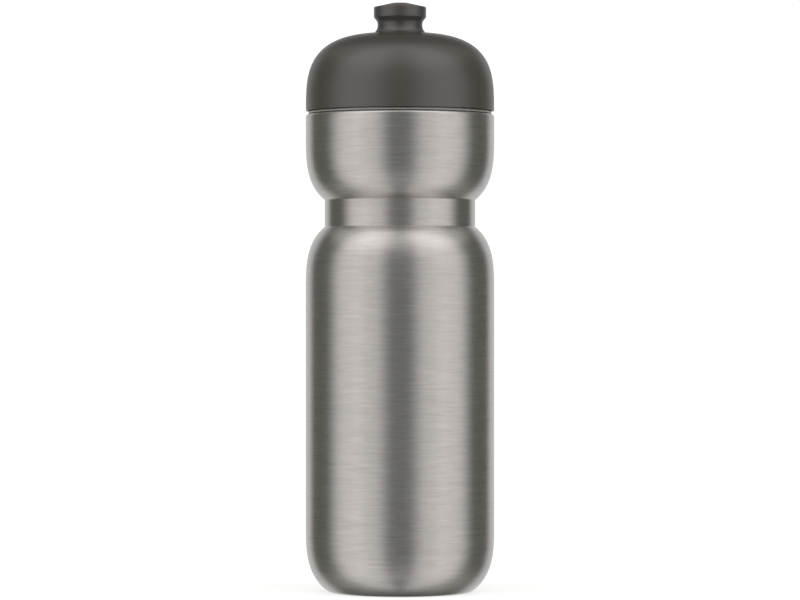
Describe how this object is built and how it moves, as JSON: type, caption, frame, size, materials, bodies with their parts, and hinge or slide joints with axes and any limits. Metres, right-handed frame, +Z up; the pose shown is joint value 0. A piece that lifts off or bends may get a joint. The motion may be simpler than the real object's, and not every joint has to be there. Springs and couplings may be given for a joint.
{
  "type": "insulated bicycle bottle",
  "caption": "Double-walled steel bicycle bottle with a waist for a cage tab, a domed screw lid and a mushroom-shaped pull spout.",
  "frame": {"origin": "centre of the foot, on the plane the bottle stands on", "axes": "+Z up along the bottle's axis, towards the spout; -Y is the front"},
  "size_m": [0.0744, 0.0744, 0.2323],
  "materials": {
    "brushed_steel": "fine brushing round the body, satin",
    "inner_steel": "plain satin steel",
    "seal_glass": "dark glass solder",
    "getter_metal": "pressed grey metal tablet",
    "lid_shell": "matte warm charcoal with a faint sheen",
    "lid_inside": "moulded grey, satin",
    "silicone": "matte silicone",
    "mouth_silicone": "matte charcoal silicone with a faint sheen"
  },
  "bodies": {
    "bottle": {"body_shell": "brushed_steel", "base_cup": "brushed_steel", "base_disc": "brushed_steel", "vacuum_seal": "seal_glass", "getter": "getter_metal", "waist_band": "brushed_steel", "bulb_shell": "brushed_steel", "liner_body": "inner_steel", "liner_base": "inner_steel", "liner_bulb": "inner_steel", "threaded_neck": "inner_steel"},
    "gasket": {"lid_gasket": "silicone"},
    "lid": {"lid_core": "lid_inside", "lid_dome": "lid_shell", "vent_valve": "silicone", "spout_stem": "lid_inside", "stem_o_ring": "silicone"},
    "spout": {"spout_sleeve": "lid_inside", "mouthpiece": "mouth_silicone"}
  },
  "joints": [
    {"name": "lid_rise", "type": "slide", "parent": "bottle", "child": "gasket", "axis": [0, 0, 1], "range_m": [0, 0.018]},
    {"name": "lid_turn", "type": "hinge", "parent": "gasket", "child": "lid", "pos_m": [0, 0, 0.2], "axis": [0, 0, 1], "range_deg": [0, 1080]},
    {"name": "spout_pull", "type": "slide", "parent": "lid", "child": "spout", "axis": [0, 0, 1], "range_m": [0, 0.0065]}
  ],
  "couplings": [
    {"joint": "lid_rise", "follows": "lid_turn", "m_per_rad": 0.00095493}
  ]
}
